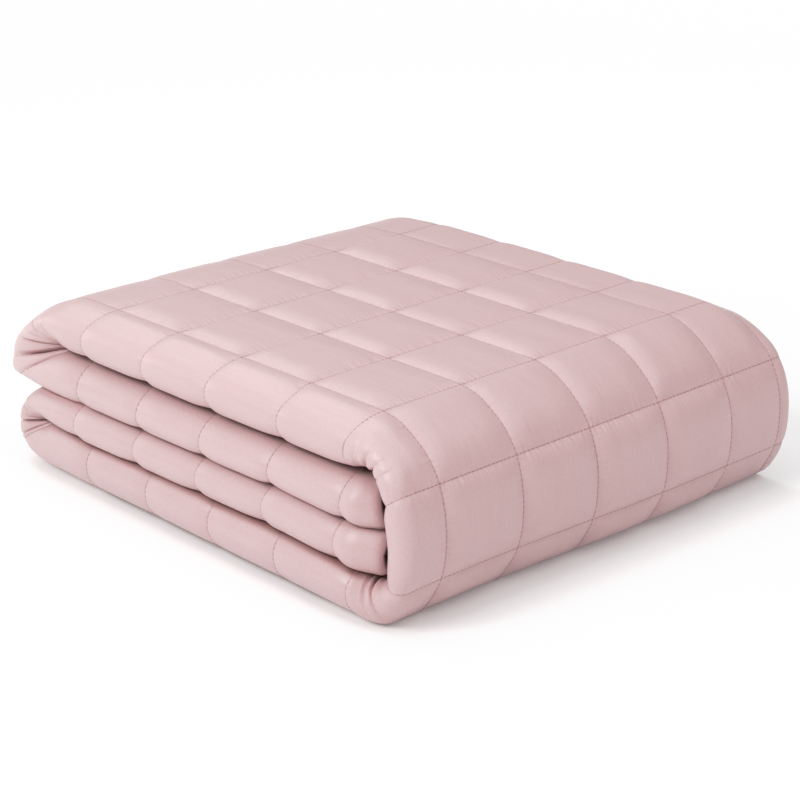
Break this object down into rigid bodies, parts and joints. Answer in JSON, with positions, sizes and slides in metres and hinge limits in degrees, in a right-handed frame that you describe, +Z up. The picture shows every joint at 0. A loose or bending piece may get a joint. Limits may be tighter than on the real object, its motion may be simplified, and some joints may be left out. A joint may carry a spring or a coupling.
{
  "type": "folded quilted bedspread",
  "caption": "Square-quilted cotton bedspread, folded into a thick rectangular pile with a rounded wrap at one side and two turns at the other.",
  "frame": {"origin": "middle of the underside's outline, on the surface that the folded bedspread lies on", "axes": "+Z up, +X towards the rounded wrap, +Y towards the sewn open edges, -Y the side with the rounded folds"},
  "size_m": [0.6376, 0.563, 0.194],
  "materials": {
    "quilted_cotton": "smooth pale dusty pink cotton, stitched in squares"
  },
  "bodies": {
    "root": {"quilted_bedspread": "quilted_cotton"}
  },
  "joints": []
}
